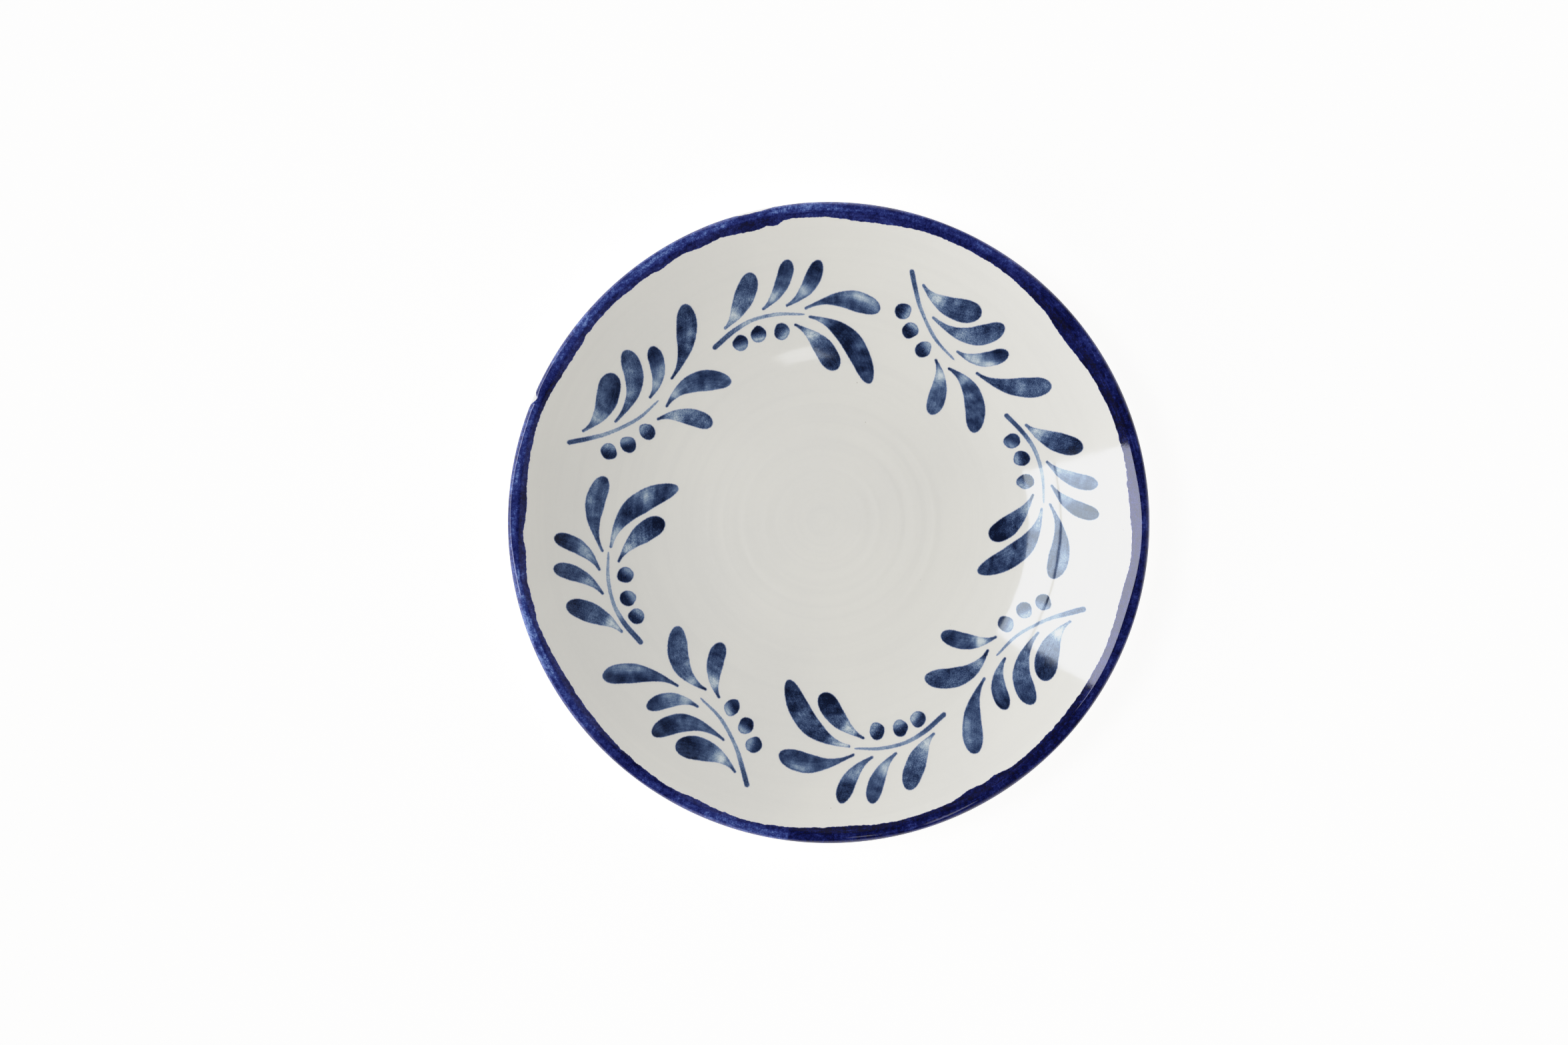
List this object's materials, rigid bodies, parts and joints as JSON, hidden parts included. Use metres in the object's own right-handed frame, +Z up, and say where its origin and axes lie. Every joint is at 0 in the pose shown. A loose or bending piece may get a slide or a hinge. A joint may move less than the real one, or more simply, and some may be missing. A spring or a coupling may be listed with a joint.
{
  "type": "dinner plate",
  "caption": "Round coupe dinner plate with a curved wall and rolled lip, white glaze, a painted blue rim band and a ring of painted leaf sprigs, for serving and eating food.",
  "frame": {"origin": "on the table under the middle of the plate", "axes": "+Z up along the plate's axis; +X to the right and +Y away, as seen from in front"},
  "size_m": [0.28, 0.28, 0.027],
  "materials": {
    "biscuit": "fired unglazed clay body, hidden under the glaze",
    "bare_foot": "bare fired clay, matt and slightly gritty",
    "white_glaze": "glossy warm white glaze over faint throwing rings",
    "cobalt_band": "glossy mottled cobalt, pooled darker in places, with a ragged brushed inner edge",
    "blue_leaf": "glossy blue brush stroke, dark at the tip and root and pale in the neck",
    "blue_stem": "glossy blue brush line, dark at the base and paler to the tip",
    "blue_berry": "glossy blue dab with a dark edge and a pale spot"
  },
  "bodies": {
    "root": {"clay_body": "biscuit", "foot_ring": "bare_foot", "face_glaze": "white_glaze", "back_glaze": "white_glaze", "foot_well_glaze": "white_glaze", "rim_band": "cobalt_band", "sprig_1_stem": "blue_stem", "sprig_1_leaves": "blue_leaf", "sprig_1_berries": "blue_berry", "sprig_2_stem": "blue_stem", "sprig_2_leaves": "blue_leaf", "sprig_2_berries": "blue_berry", "sprig_3_stem": "blue_stem", "sprig_3_leaves": "blue_leaf", "sprig_3_berries": "blue_berry", "sprig_4_stem": "blue_stem", "sprig_4_leaves": "blue_leaf", "sprig_4_berries": "blue_berry", "sprig_5_stem": "blue_stem", "sprig_5_leaves": "blue_leaf", "sprig_5_berries": "blue_berry", "sprig_6_stem": "blue_stem", "sprig_6_leaves": "blue_leaf", "sprig_6_berries": "blue_berry", "sprig_7_stem": "blue_stem", "sprig_7_leaves": "blue_leaf", "sprig_7_berries": "blue_berry", "sprig_8_stem": "blue_stem", "sprig_8_leaves": "blue_leaf", "sprig_8_berries": "blue_berry"}
  },
  "joints": []
}
